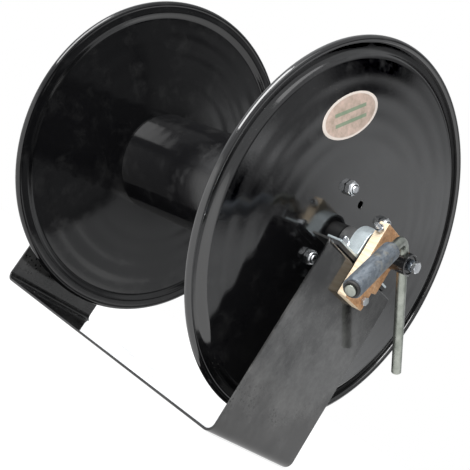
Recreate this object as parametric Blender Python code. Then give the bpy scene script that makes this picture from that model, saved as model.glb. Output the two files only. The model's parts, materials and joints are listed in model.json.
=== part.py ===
"""Hand-cranked hose reel: a drum between two pressed flanges, carried by a bent flat-steel frame.

Frame of the part: X runs along the axle, towards the crank. Z is up. The origin is the middle of
the underside of the frame's base, so the base rests on Z = 0. All sizes are in metres.
"""
import math

import bmesh
import bpy
from mathutils import Matrix, Vector

for old in list(bpy.data.objects):
    bpy.data.objects.remove(old, do_unlink=True)

# ---- Fits -------------------------------------------------------------------------------------
GAP = 0.0003                    # between pieces that touch

# ---- Reel -------------------------------------------------------------------------------------
FLANGE_RADIUS = 0.250
DRUM_LENGTH = 0.3874            # between the inner faces of the flanges, less a gap at each end
DRUM_RADIUS = 0.079
DRUM_WALL = 0.002
SHEET = 0.0018                  # flange sheet
RIM_WIDTH = 0.018               # from the step to the outside of the rolled rim
RIM_STEP = 0.005                # how far the rim is pressed in behind the face
STEP_SLOPE = 0.004              # radial length of the step
BEAD_RADIUS = 0.0045            # rolled edge
BEAD_OFFSET = 0.0015            # bead centre behind the inner face
INSPECTION_HOLE_RADIUS = 0.0052
INSPECTION_HOLE_AT = 0.0462     # from the axle's centre
INSPECTION_HOLE_ANGLE = math.radians(105.6)

AXLE_RADIUS = 0.01345           # 3/4 inch nominal pipe
AXLE_WALL = 0.0026
AXLE_PAST_FAR_UPRIGHT = 0.020
SPACER_WALL = 0.0031            # sleeve between a flange and its bearing

TIE_ROD_RADIUS = 0.005
TIE_ROD_INSET = 0.0095          # from the drum's outside to the rods' centre line
TIE_NUT_FLATS = 0.017
TIE_NUT_HEIGHT = 0.0102
TIE_ROD_PAST_NUT = 0.0012
TIE_ROD_ANGLES = [math.radians(46.5 + 90 * step) for step in range(4)]

LABEL_HALF_LENGTH = 0.0485
LABEL_HALF_WIDTH = 0.0268
LABEL_THICKNESS = 0.0004
LABEL_AT = 0.160                # from the axle's centre
LABEL_ANGLE = math.radians(137.6)
LABEL_TURN = math.radians(52)

# ---- Frame ------------------------------------------------------------------------------------
GROUND_CLEARANCE = 0.030
SIDE_SPACE = 0.0483             # from a flange's inner face to the outside of its upright
FRAME_WIDTH = 0.172
PLATE = 0.003
FOOT_BEND = 0.012               # outside radius
SHELF_BEND = 0.006              # outside radius
SHELF_LENGTH = 0.029
SHELF_BELOW_AXLE = 0.0285       # from the axle's centre down to the shelf's top
FOOT_HOLE_RADIUS = 0.005
FOOT_HOLE_INSET = 0.018         # from the outside of the upright
FOOT_HOLE_SPACING = 0.090

# ---- Bearings ---------------------------------------------------------------------------------
BEARING_WIDTH = 0.0215          # along the axle
BEARING_INSET = 0.0125          # bearing centre inside the upright's outer face
BEARING_WALL = 0.0077           # between the axle's bore and the strap
BEARING_BASE = 0.0047
STRAP_THICKNESS = 0.003
STRAP_HALF_LENGTH = 0.066
STRAP_BOLT_SPACING = 0.094
STRAP_CORNER = 0.004
STRAP_BOLT_RADIUS = 0.0040
STRAP_BOLT_PAST_NUT = 0.003
M8_FLATS = 0.013
M8_NUT_HEIGHT = 0.0065
M8_HEAD_HEIGHT = 0.0053

# ---- Wooden brake block -------------------------------------------------------------------------
BLOCK_THICKNESS = 0.0135
BLOCK_LEFT = 0.0233             # from the axle's centre towards -Y
BLOCK_RIGHT = 0.0295            # towards +Y
BLOCK_UP = 0.0312
BLOCK_DOWN = 0.0713
BLOCK_NOTCH_WIDTH = 0.0092
BLOCK_NOTCH_TOP = 0.0430        # below the axle's centre
BLOCK_NOTCH_SLOPE = 0.0030
BLOCK_BOLT_ABOVE_END = 0.012
BLOCK_BOLT_SPACING = 0.0255
BLOCK_BOLT_CENTRE = 0.0008
CROSS_SCREW_BELOW_TOP = 0.0102
CROSS_SCREW_PAST_NUT = 0.0085
M6_RADIUS = 0.0030
M6_FLATS = 0.010
M6_NUT_HEIGHT = 0.005
M6_HEAD_HEIGHT = 0.004

# ---- Crank ------------------------------------------------------------------------------------
CRANK_PAST_UPRIGHT = 0.0415     # from the near upright's outer face to the rod
PIPE_PAST_CRANK = 0.0120        # from the rod to the open end of the pipe
CRANK_ROD_RADIUS = 0.00635
CRANK_LONG_LEG = 0.1595         # below the axle's centre
CRANK_OFFSET = 0.0323           # from the axle's centre to where the two legs would meet
CRANK_BEND = 0.017              # radius of the bend's centre line
CRANK_BEND_ANGLE = math.radians(88.35)
CRANK_GRIP_LEG = 0.1457         # from where the two legs would meet
CRANK_LEAN = math.radians(48.8)
CRANK_SWING = math.radians(15.8)
GRIP_PLAY = 0.00155             # all round, between the grip and the rod
GRIP_WALL = 0.0034
GRIP_LENGTH = 0.0990
GRIP_FROM_CORNER = 0.0400
RETAINER_WALL = 0.00275
RETAINER_LENGTH = 0.0030
BUSH_WALL = 0.00155
PLUG_LENGTH = 0.0018
JAM_NUT_HEIGHT = 0.0040
CLAMP_HEAD_CLEAR = 0.0018       # bare thread between the jam nut and the bolt's head

# ---- Places worked out from the sizes -----------------------------------------------------------
AXLE_HEIGHT = FLANGE_RADIUS + GROUND_CLEARANCE
FLANGE_INNER_FACE = DRUM_LENGTH / 2 + GAP
FLANGE_OUTER_FACE = FLANGE_INNER_FACE + SHEET
UPRIGHT_FACE = FLANGE_INNER_FACE + SIDE_SPACE
SHELF_TOP = AXLE_HEIGHT - SHELF_BELOW_AXLE
BEARING_X = UPRIGHT_FACE - BEARING_INSET
CRANK_X = UPRIGHT_FACE + CRANK_PAST_UPRIGHT
PIPE_END = CRANK_X + PIPE_PAST_CRANK
AXLE_BORE_RADIUS = AXLE_RADIUS + GAP
AXLE_INSIDE = AXLE_RADIUS - AXLE_WALL
TIE_ROD_CIRCLE = DRUM_RADIUS - TIE_ROD_INSET
BEARING_OUTER = AXLE_BORE_RADIUS + BEARING_WALL
STRAP_INNER = BEARING_OUTER + GAP
STRAP_OUTER = STRAP_INNER + STRAP_THICKNESS
BEARING_BOTTOM = GAP - SHELF_BELOW_AXLE
BEARING_BASE_TOP = BEARING_BOTTOM + BEARING_BASE
STRAP_FOOT_BOTTOM = BEARING_BASE_TOP + GAP
STRAP_FOOT_TOP = STRAP_FOOT_BOTTOM + STRAP_THICKNESS
STRAP_BOLT_HOLE = STRAP_BOLT_RADIUS + GAP
BLOCK_BACK = UPRIGHT_FACE + GAP
BLOCK_FRONT = BLOCK_BACK + BLOCK_THICKNESS
BLOCK_BOLT_Z = AXLE_HEIGHT - BLOCK_DOWN + BLOCK_BOLT_ABOVE_END
CROSS_SCREW_Z = AXLE_HEIGHT + BLOCK_UP - CROSS_SCREW_BELOW_TOP
M6_HOLE = M6_RADIUS + GAP
ROD_BORE = CRANK_ROD_RADIUS + GAP
GRIP_BORE_RADIUS = CRANK_ROD_RADIUS + GRIP_PLAY
GRIP_RADIUS = GRIP_BORE_RADIUS + GRIP_WALL
BUSH_RADIUS = ROD_BORE + BUSH_WALL
BUSH_HALF_LENGTH = math.sqrt((AXLE_INSIDE - GAP) ** 2 - BUSH_RADIUS ** 2)

# ---- Facets -----------------------------------------------------------------------------------
FLANGE_SEGMENTS = 64
DRUM_SEGMENTS = 48
PIPE_SEGMENTS = 48
SMALL_SEGMENTS = 24
FASTENER_SEGMENTS = 12
BEAD_STEPS = 10
BEND_STEPS = 6
CUT_MARGIN = 0.002              # how far a cutter runs past what it cuts


# ---- Shared helpers -----------------------------------------------------------------------------
def principled(name, colour, roughness, metallic=0.0):
    """A plain Principled BSDF material."""
    material = bpy.data.materials.new(name)
    material.use_nodes = True
    shader = material.node_tree.nodes["Principled BSDF"]
    shader.inputs["Base Color"].default_value = (*colour, 1.0)
    shader.inputs["Roughness"].default_value = roughness
    shader.inputs["Metallic"].default_value = metallic
    return material


def add_object(name, mesh, parent=None, location=(0, 0, 0), rotation=(0, 0, 0)):
    """An object in the scene, placed under its parent."""
    item = bpy.data.objects.new(name, mesh)
    bpy.context.scene.collection.objects.link(item)
    item.parent = parent
    item.location = location
    item.rotation_euler = rotation
    return item


def loft(name, loops, closed=False):
    """A solid through loops of equally many points; closed joins the last loop to the first."""
    work = bmesh.new()
    rings = [[work.verts.new(point) for point in loop] for loop in loops]
    count = len(rings[0])
    pairs = list(zip(rings, rings[1:]))
    if closed:
        pairs.append((rings[-1], rings[0]))
    else:
        work.faces.new(rings[0])
        work.faces.new(rings[-1])
    for first, second in pairs:
        for index in range(count):
            after = (index + 1) % count
            work.faces.new((first[index], first[after], second[after], second[index]))
    bmesh.ops.recalc_face_normals(work, faces=work.faces)
    mesh = bpy.data.meshes.new(name)
    work.to_mesh(mesh)
    work.free()
    mesh.shade_smooth()
    mesh.set_sharp_from_angle(angle=math.radians(35))
    return mesh


def round_loop(radius, height, count, lengthwise="Z"):
    """A circle of points round one axis, at a height along it."""
    points = []
    for index in range(count):
        angle = 2 * math.pi * index / count
        across = (radius * math.cos(angle), radius * math.sin(angle))
        points.append(along(lengthwise, height, across))
    return points


def hex_loop(flats, height, count, lengthwise="Z"):
    """A hexagon with as many points as the circles it is lofted to."""
    points = []
    for index in range(count):
        angle = 2 * math.pi * index / count
        from_flat = (angle + math.pi / 6) % (math.pi / 3) - math.pi / 6
        radius = flats / 2 / math.cos(from_flat)
        across = (radius * math.cos(angle), radius * math.sin(angle))
        points.append(along(lengthwise, height, across))
    return points


def along(lengthwise, height, across):
    """A point from its height along one axis and its two places across it."""
    if lengthwise == "X":
        return (height, across[0], across[1])
    if lengthwise == "Y":
        return (across[1], height, across[0])
    return (across[0], across[1], height)


def ring(name, outer, inner, start, end, count, lengthwise="X"):
    """A plain tube or washer."""
    loops = [
        round_loop(outer, start, count, lengthwise),
        round_loop(outer, end, count, lengthwise),
        round_loop(inner, end, count, lengthwise),
        round_loop(inner, start, count, lengthwise),
    ]
    return loft(name, loops, closed=True)


def rod(name, radius, start, end, count, lengthwise="X"):
    """A plain round bar."""
    loops = [round_loop(radius, place, count, lengthwise) for place in (start, end)]
    return loft(name, loops)


def nut(name, flats, bore, start, end, lengthwise="X"):
    """A hexagon nut, from the face it clamps to its outer face."""
    count = FASTENER_SEGMENTS
    loops = [
        hex_loop(flats, start, count, lengthwise),
        hex_loop(flats, end, count, lengthwise),
        round_loop(bore, end, count, lengthwise),
        round_loop(bore, start, count, lengthwise),
    ]
    return loft(name, loops, closed=True)


def bolt(name, flats, radius, head_end, head_start, tip, lengthwise="X"):
    """A hexagon bolt: the head's outer face, its seat and the tip of the shank."""
    count = FASTENER_SEGMENTS
    loops = [
        hex_loop(flats, head_end, count, lengthwise),
        hex_loop(flats, head_start, count, lengthwise),
        round_loop(radius, head_start, count, lengthwise),
        round_loop(radius, tip, count, lengthwise),
    ]
    return loft(name, loops)


def filleted(corners):
    """An outline from (a, b, radius) corners, with an arc at each corner that has a radius."""
    points = []
    for index, (a, b, radius) in enumerate(corners):
        here = Vector((a, b))
        if radius == 0:
            points.append(here)
            continue
        before = (Vector(corners[index - 1][:2]) - here).normalized()
        after = (Vector(corners[(index + 1) % len(corners)][:2]) - here).normalized()
        half = before.angle(after) / 2
        centre = here + (before + after).normalized() * radius / math.sin(half)
        first = here + before * radius / math.tan(half) - centre
        last = here + after * radius / math.tan(half) - centre
        start = math.atan2(first.y, first.x)
        sweep = math.remainder(math.atan2(last.y, last.x) - start, 2 * math.pi)
        for step in range(BEND_STEPS + 1):
            angle = start + sweep * step / BEND_STEPS
            points.append(centre + radius * Vector((math.cos(angle), math.sin(angle))))
    return points


def plate_x(name, outline, start, end):
    """A flat piece across the axle: a (Y, Z) outline between two places along X."""
    loops = [[(place, a, b) for a, b in outline] for place in (start, end)]
    return loft(name, loops)


def cutter(name, meshes, placing=Matrix.Identity(4)):
    """One hidden object that holds every hole to be cut from a piece."""
    work = bmesh.new()
    for mesh in meshes:
        work.from_mesh(mesh)
    joined = bpy.data.meshes.new(name)
    work.to_mesh(joined)
    work.free()
    item = add_object(name, joined)
    item.matrix_world = placing
    item.hide_render = True
    item.display_type = "WIRE"
    return item


def cut(item, tool):
    """Cut a tool's shape out of a piece."""
    modifier = item.modifiers.new("cut_" + tool.name, "BOOLEAN")
    modifier.operation = "DIFFERENCE"
    modifier.solver = "EXACT"
    modifier.object = tool


def hole(radius, start, end, lengthwise, a=0.0, b=0.0, count=SMALL_SEGMENTS):
    """A cutting cylinder along one axis; a and b place it across that axis, in X, Y, Z order."""
    mesh = rod("hole", radius, start, end, count, lengthwise)
    offsets = {"X": (0, a, b), "Y": (a, 0, b), "Z": (a, b, 0)}
    mesh.transform(Matrix.Translation(offsets[lengthwise]))
    return mesh


def finish(item, material):
    """Give a piece its material."""
    item.data.materials.append(material)


# ---- Materials --------------------------------------------------------------------------------
BLACK_PAINT = principled("black_gloss_paint", (0.012, 0.012, 0.013), 0.18)
ZINC = principled("zinc_plate", (0.72, 0.74, 0.76), 0.30, 1.0)
ROD_ZINC = principled("crank_zinc", (0.66, 0.67, 0.64), 0.34, 1.0)
GALVANISED = principled("galvanised_grip", (0.42, 0.47, 0.54), 0.50, 0.8)
SLEEVE_STEEL = principled("sleeve_steel", (0.36, 0.37, 0.37), 0.42, 0.9)
NYLON = principled("black_nylon", (0.02, 0.02, 0.02), 0.55)
RUBBER = principled("black_rubber", (0.015, 0.015, 0.015), 0.70)
WOOD = principled("pale_hardwood", (0.72, 0.50, 0.30), 0.55)
LABEL = principled("label_print", (0.66, 0.52, 0.46), 0.45)


# ---- Empties on the axes ------------------------------------------------------------------------
axle_axis = add_object("axle_axis", None, location=(0, 0, AXLE_HEIGHT))
crank_clamp = add_object("crank_clamp", None, axle_axis, (CRANK_X, 0, 0), (CRANK_LEAN, 0, 0))
crank_turn = add_object("crank_turn", None, crank_clamp, rotation=(0, 0, CRANK_SWING))
bpy.context.view_layer.update()


# ---- Frame ------------------------------------------------------------------------------------
def build_frame():
    """One bent strip: base, two uprights and a shelf turned inwards on top of each."""
    shelf_end = UPRIGHT_FACE - SHELF_LENGTH
    inside = UPRIGHT_FACE - PLATE
    under_shelf = SHELF_TOP - PLATE
    outline = filleted([
        (-shelf_end, SHELF_TOP, 0),
        (-UPRIGHT_FACE, SHELF_TOP, SHELF_BEND),
        (-UPRIGHT_FACE, 0, FOOT_BEND),
        (UPRIGHT_FACE, 0, FOOT_BEND),
        (UPRIGHT_FACE, SHELF_TOP, SHELF_BEND),
        (shelf_end, SHELF_TOP, 0),
        (shelf_end, under_shelf, 0),
        (inside, under_shelf, SHELF_BEND - PLATE),
        (inside, PLATE, FOOT_BEND - PLATE),
        (-inside, PLATE, FOOT_BEND - PLATE),
        (-inside, under_shelf, SHELF_BEND - PLATE),
        (-shelf_end, under_shelf, 0),
    ])
    half = FRAME_WIDTH / 2
    mesh = loft("frame", [[(a, place, b) for a, b in outline] for place in (-half, half)])
    frame = add_object("frame", mesh)
    finish(frame, BLACK_PAINT)

    foot_x = UPRIGHT_FACE - FOOT_HOLE_INSET
    holes = []
    for side in (-1, 1):
        for end in (-1, 1):
            foot_y = end * FOOT_HOLE_SPACING / 2
            strap_y = end * STRAP_BOLT_SPACING / 2
            foot = hole(FOOT_HOLE_RADIUS, -CUT_MARGIN, PLATE + CUT_MARGIN, "Z", side * foot_x, foot_y)
            shelf_low = under_shelf - CUT_MARGIN
            shelf_high = SHELF_TOP + CUT_MARGIN
            strap = hole(STRAP_BOLT_HOLE, shelf_low, shelf_high, "Z", side * BEARING_X, strap_y)
            holes += [foot, strap]
    for bolt_y in block_bolt_places():
        through = hole(M6_HOLE, inside - CUT_MARGIN, UPRIGHT_FACE + CUT_MARGIN, "X", bolt_y, BLOCK_BOLT_Z)
        holes.append(through)
    cut(frame, cutter("frame_holes", holes))


def block_bolt_places():
    """Y of the two bolts that hold the wooden block."""
    return [BLOCK_BOLT_CENTRE + end * BLOCK_BOLT_SPACING / 2 for end in (-1, 1)]


# ---- Reel -------------------------------------------------------------------------------------
def flange_profile():
    """Half section of a flange: (distance out from the inner face, radius)."""
    step_out = FLANGE_RADIUS - RIM_WIDTH
    step_in = step_out - STEP_SLOPE
    bead_centre = FLANGE_RADIUS - BEAD_RADIUS
    back = -RIM_STEP
    front = SHEET - RIM_STEP
    start = math.asin((BEAD_OFFSET + back) / BEAD_RADIUS)
    finish_angle = math.asin((BEAD_OFFSET + front) / BEAD_RADIUS)
    points = [(0, AXLE_BORE_RADIUS), (0, step_in), (back, step_out)]
    sweep = 2 * math.pi - (finish_angle - start)
    for step in range(BEAD_STEPS + 1):
        angle = start - sweep * step / BEAD_STEPS
        out = BEAD_RADIUS * math.sin(angle) - BEAD_OFFSET
        points.append((out, bead_centre - BEAD_RADIUS * math.cos(angle)))
    points += [(front, step_out), (SHEET, step_in), (SHEET, AXLE_BORE_RADIUS)]
    return points


def build_flange(name, side):
    """A pressed disc with a stepped, rolled rim; side is 1 for the crank side and -1 for the far one."""
    loops = []
    for out, radius in flange_profile():
        loops.append(round_loop(radius, side * (FLANGE_INNER_FACE + out), FLANGE_SEGMENTS, "X"))
    flange = add_object(name, loft(name, loops, closed=True), axle_axis)
    finish(flange, BLACK_PAINT)
    ends = sorted((side * (FLANGE_INNER_FACE - CUT_MARGIN), side * (FLANGE_OUTER_FACE + CUT_MARGIN)))
    holes = []
    for angle in TIE_ROD_ANGLES:
        place = (TIE_ROD_CIRCLE * math.cos(angle), TIE_ROD_CIRCLE * math.sin(angle))
        holes.append(hole(TIE_ROD_RADIUS + GAP, *ends, "X", *place))
    if side == 1:
        angle = INSPECTION_HOLE_ANGLE
        place = (INSPECTION_HOLE_AT * math.cos(angle), INSPECTION_HOLE_AT * math.sin(angle))
        holes.append(hole(INSPECTION_HOLE_RADIUS, *ends, "X", *place))
    cut(flange, cutter(name + "_holes", holes, Matrix.Translation((0, 0, AXLE_HEIGHT))))


def build_drum():
    """The tube that the hose winds on."""
    half = DRUM_LENGTH / 2
    mesh = ring("drum", DRUM_RADIUS, DRUM_RADIUS - DRUM_WALL, -half, half, DRUM_SEGMENTS)
    finish(add_object("drum", mesh, axle_axis), BLACK_PAINT)


def build_tie_rods():
    """Threaded rods through the drum, with a locking nut at each end."""
    nut_seat = FLANGE_OUTER_FACE + GAP
    nut_end = nut_seat + TIE_NUT_HEIGHT
    tip = nut_end + TIE_ROD_PAST_NUT
    rod_mesh = rod("tie_rod", TIE_ROD_RADIUS, -tip, tip, FASTENER_SEGMENTS)
    nut_bore = TIE_ROD_RADIUS + GAP
    near_mesh = nut("tie_nut_near", TIE_NUT_FLATS, nut_bore, nut_seat, nut_end)
    far_mesh = nut("tie_nut_far", TIE_NUT_FLATS, nut_bore, -nut_seat, -nut_end)
    for mesh in (rod_mesh, near_mesh, far_mesh):
        mesh.materials.append(ZINC)
    for index, angle in enumerate(TIE_ROD_ANGLES, start=1):
        place = (0, TIE_ROD_CIRCLE * math.cos(angle), TIE_ROD_CIRCLE * math.sin(angle))
        add_object(f"tie_rod_{index}", rod_mesh, axle_axis, place)
        add_object(f"tie_nut_near_{index}", near_mesh, axle_axis, place)
        add_object(f"tie_nut_far_{index}", far_mesh, axle_axis, place)


def build_axle():
    """The pipe through the reel, cross-drilled for the crank rod near its open end."""
    far_end = -UPRIGHT_FACE - AXLE_PAST_FAR_UPRIGHT
    mesh = ring("axle_pipe", AXLE_RADIUS, AXLE_INSIDE, far_end, PIPE_END, PIPE_SEGMENTS)
    axle = add_object("axle_pipe", mesh, axle_axis)
    finish(axle, BLACK_PAINT)
    reach = AXLE_RADIUS + CUT_MARGIN
    cross_hole = hole(ROD_BORE, -reach, reach, "Z")
    cut(axle, cutter("crank_hole", [cross_hole], crank_clamp.matrix_world.copy()))


def build_label():
    """A blank oval sticker on the near flange."""
    start = FLANGE_OUTER_FACE + GAP
    loops = []
    for height in (0, LABEL_THICKNESS):
        loop = []
        for point in round_loop(1.0, height, PIPE_SEGMENTS, "X"):
            loop.append((height, point[1] * LABEL_HALF_LENGTH, point[2] * LABEL_HALF_WIDTH))
        loops.append(loop)
    place = (start, LABEL_AT * math.cos(LABEL_ANGLE), LABEL_AT * math.sin(LABEL_ANGLE))
    label = add_object("flange_label", loft("flange_label", loops), axle_axis, place, (LABEL_TURN, 0, 0))
    finish(label, LABEL)


def build_spacers():
    """Short sleeves on the axle that keep each flange off its bearing."""
    start = FLANGE_OUTER_FACE + GAP
    end = BEARING_X - BEARING_WIDTH / 2 - GAP
    outer = AXLE_BORE_RADIUS + SPACER_WALL
    mesh = ring("spacer", outer, AXLE_BORE_RADIUS, start, end, PIPE_SEGMENTS)
    mesh.materials.append(SLEEVE_STEEL)
    add_object("near_spacer", mesh, axle_axis)
    add_object("far_spacer", mesh, axle_axis, rotation=(0, 0, math.pi))


# ---- Bearings ---------------------------------------------------------------------------------
def arch(radius, count):
    """Half a circle over the axle, from +Y to -Y, as (Y, Z) points about its centre."""
    points = []
    for index in range(count + 1):
        angle = math.pi * index / count
        points.append(Vector((radius * math.cos(angle), radius * math.sin(angle))))
    return points


def bearing_outline():
    """The nylon block: a thin base and a column that closes over the axle."""
    reach = STRAP_HALF_LENGTH
    right = [(-reach, BEARING_BOTTOM), (reach, BEARING_BOTTOM), (reach, BEARING_BASE_TOP)]
    column = [(BEARING_OUTER, BEARING_BASE_TOP)]
    left = [(-BEARING_OUTER, BEARING_BASE_TOP), (-reach, BEARING_BASE_TOP)]
    return right + column + arch(BEARING_OUTER, FASTENER_SEGMENTS) + left


def strap_outline():
    """The pipe strap: two feet and an arch of even thickness."""
    reach = STRAP_HALF_LENGTH
    inner = [(*point, 0) for point in reversed(arch(STRAP_INNER, FASTENER_SEGMENTS))]
    outer = [(*point, 0) for point in arch(STRAP_OUTER, FASTENER_SEGMENTS)]
    left_underside = [(-reach, STRAP_FOOT_BOTTOM, 0), (-STRAP_INNER, STRAP_FOOT_BOTTOM, 0)]
    right_underside = [(STRAP_INNER, STRAP_FOOT_BOTTOM, 0), (reach, STRAP_FOOT_BOTTOM, 0)]
    right_top = [(reach, STRAP_FOOT_TOP, 0), (STRAP_OUTER, STRAP_FOOT_TOP, STRAP_CORNER)]
    left_top = [(-STRAP_OUTER, STRAP_FOOT_TOP, STRAP_CORNER), (-reach, STRAP_FOOT_TOP, 0)]
    return filleted(left_underside + inner + right_underside + right_top + outer + left_top)


def build_bearing(prefix, side):
    """One bearing on its shelf: block, strap, two bolts and two nuts."""
    centre = side * BEARING_X
    half = BEARING_WIDTH / 2
    start = centre - half
    end = centre + half
    block_mesh = plate_x("bearing_block", bearing_outline(), start, end)
    strap_mesh = plate_x("bearing_strap", strap_outline(), start, end)
    block = add_object(prefix + "_bearing_block", block_mesh, axle_axis)
    strap = add_object(prefix + "_bearing_strap", strap_mesh, axle_axis)
    finish(block, NYLON)
    finish(strap, ZINC)
    low = BEARING_BOTTOM - CUT_MARGIN
    high = STRAP_FOOT_TOP + CUT_MARGIN
    bolt_holes = []
    for end_side in (-1, 1):
        bolt_y = end_side * STRAP_BOLT_SPACING / 2
        bolt_holes.append(hole(STRAP_BOLT_HOLE, low, high, "Z", centre, bolt_y, FASTENER_SEGMENTS))
    bore = hole(AXLE_BORE_RADIUS, start - CUT_MARGIN, end + CUT_MARGIN, "X", count=PIPE_SEGMENTS)
    on_axle = Matrix.Translation((0, 0, AXLE_HEIGHT))
    cut(block, cutter(prefix + "_block_cuts", bolt_holes + [bore], on_axle))
    cut(strap, cutter(prefix + "_strap_cuts", bolt_holes, on_axle))

    head_seat = -SHELF_BELOW_AXLE - PLATE - GAP
    nut_seat = STRAP_FOOT_TOP + GAP
    nut_end = nut_seat + M8_NUT_HEIGHT
    tip = nut_end + STRAP_BOLT_PAST_NUT
    head_end = head_seat - M8_HEAD_HEIGHT
    bolt_mesh = bolt("strap_bolt", M8_FLATS, STRAP_BOLT_RADIUS, head_end, head_seat, tip, "Z")
    nut_mesh = nut("strap_nut", M8_FLATS, STRAP_BOLT_HOLE, nut_seat, nut_end, "Z")
    bolt_mesh.materials.append(ZINC)
    nut_mesh.materials.append(ZINC)
    for index, end_side in enumerate((-1, 1), start=1):
        place = (centre, end_side * STRAP_BOLT_SPACING / 2, 0)
        add_object(f"{prefix}_strap_bolt_{index}", bolt_mesh, axle_axis, place)
        add_object(f"{prefix}_strap_nut_{index}", nut_mesh, axle_axis, place)


# ---- Wooden brake block -------------------------------------------------------------------------
def build_brake_block():
    """The hardwood block that rubs on the axle outside the near upright, and its fasteners."""
    narrow = BLOCK_RIGHT - BLOCK_NOTCH_WIDTH
    outline = [
        (-BLOCK_LEFT, -BLOCK_DOWN),
        (narrow, -BLOCK_DOWN),
        (narrow, -BLOCK_NOTCH_TOP - BLOCK_NOTCH_SLOPE),
        (BLOCK_RIGHT, -BLOCK_NOTCH_TOP),
        (BLOCK_RIGHT, BLOCK_UP),
        (-BLOCK_LEFT, BLOCK_UP),
    ]
    block = add_object("brake_block", plate_x("brake_block", outline, BLOCK_BACK, BLOCK_FRONT), axle_axis)
    finish(block, WOOD)
    start = BLOCK_BACK - CUT_MARGIN
    end = BLOCK_FRONT + CUT_MARGIN
    cuts = [hole(AXLE_BORE_RADIUS, start, end, "X", 0, AXLE_HEIGHT, PIPE_SEGMENTS)]
    for bolt_y in block_bolt_places():
        cuts.append(hole(M6_HOLE, start, end, "X", bolt_y, BLOCK_BOLT_Z))
    middle = (BLOCK_BACK + BLOCK_FRONT) / 2
    cut_start = -BLOCK_LEFT - CUT_MARGIN
    cut_end = BLOCK_RIGHT + CUT_MARGIN
    cuts.append(hole(M6_HOLE, cut_start, cut_end, "Y", middle, CROSS_SCREW_Z))
    cut(block, cutter("brake_block_cuts", cuts))

    head_seat = BLOCK_FRONT + GAP
    nut_seat = UPRIGHT_FACE - PLATE - GAP
    nut_end = nut_seat - M6_NUT_HEIGHT
    tip = nut_end - TIE_ROD_PAST_NUT
    bolt_mesh = bolt("brake_block_bolt", M6_FLATS, M6_RADIUS, head_seat + M6_HEAD_HEIGHT, head_seat, tip)
    nut_mesh = nut("brake_block_nut", M6_FLATS, M6_HOLE, nut_seat, nut_end)
    bolt_mesh.materials.append(ZINC)
    nut_mesh.materials.append(ZINC)
    for index, bolt_y in enumerate(block_bolt_places(), start=1):
        place = (0, bolt_y, BLOCK_BOLT_Z)
        add_object(f"brake_block_bolt_{index}", bolt_mesh, None, place)
        add_object(f"brake_block_nut_{index}", nut_mesh, None, place)

    screw_seat = BLOCK_RIGHT + GAP
    screw_nut_seat = -BLOCK_LEFT - GAP
    screw_nut_end = screw_nut_seat - M6_NUT_HEIGHT
    screw_tip = screw_nut_end - CROSS_SCREW_PAST_NUT
    screw_place = (middle, 0, CROSS_SCREW_Z)
    screw_end = screw_seat + M6_HEAD_HEIGHT
    screw_mesh = bolt("cross_screw", M6_FLATS, M6_RADIUS, screw_end, screw_seat, screw_tip, "Y")
    screw_nut_mesh = nut("cross_screw_nut", M6_FLATS, M6_HOLE, screw_nut_seat, screw_nut_end, "Y")
    finish(add_object("cross_screw", screw_mesh, None, screw_place), ZINC)
    finish(add_object("cross_screw_nut", screw_nut_mesh, None, screw_place), ZINC)


# ---- Crank ------------------------------------------------------------------------------------
def build_crank_rod():
    """The L-bent rod: its long leg lies along local Z and its grip leg near local -Y."""
    count = SMALL_SEGMENTS
    straight_top = CRANK_OFFSET - CRANK_BEND * math.tan(CRANK_BEND_ANGLE / 2)
    path = [(Vector((0, 0, -CRANK_LONG_LEG)), 0.0)]
    for step in range(BEND_STEPS + 1):
        turn = CRANK_BEND_ANGLE * step / BEND_STEPS
        back = CRANK_BEND * (1 - math.cos(turn))
        path.append((Vector((0, -back, straight_top + CRANK_BEND * math.sin(turn))), turn))
    across = CRANK_GRIP_LEG * math.sin(CRANK_BEND_ANGLE)
    rise = CRANK_GRIP_LEG * math.cos(CRANK_BEND_ANGLE)
    path.append((Vector((0, -across, CRANK_OFFSET + rise)), CRANK_BEND_ANGLE))
    loops = []
    for centre, turn in path:
        tilt = Matrix.Rotation(turn, 4, "X")
        loops.append([centre + tilt @ Vector(point) for point in round_loop(CRANK_ROD_RADIUS, 0, count)])
    finish(add_object("crank_rod", loft("crank_rod", loops), crank_turn), ROD_ZINC)


def build_grip():
    """The loose sleeve on the grip leg, and the push-on ring that keeps it there."""
    grip_end = GRIP_FROM_CORNER + GRIP_LENGTH
    place = (0, 0, CRANK_OFFSET)
    facing = (CRANK_BEND_ANGLE, 0, 0)
    grip = ring("crank_grip", GRIP_RADIUS, GRIP_BORE_RADIUS, GRIP_FROM_CORNER, grip_end, SMALL_SEGMENTS, "Z")
    finish(add_object("crank_grip", grip, crank_turn, place, facing), GALVANISED)
    start = grip_end + GAP
    outside = ROD_BORE + RETAINER_WALL
    keeper = ring("grip_retainer", outside, ROD_BORE, start, start + RETAINER_LENGTH, SMALL_SEGMENTS, "Z")
    finish(add_object("grip_retainer", keeper, crank_turn, place, facing), RUBBER)


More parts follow.
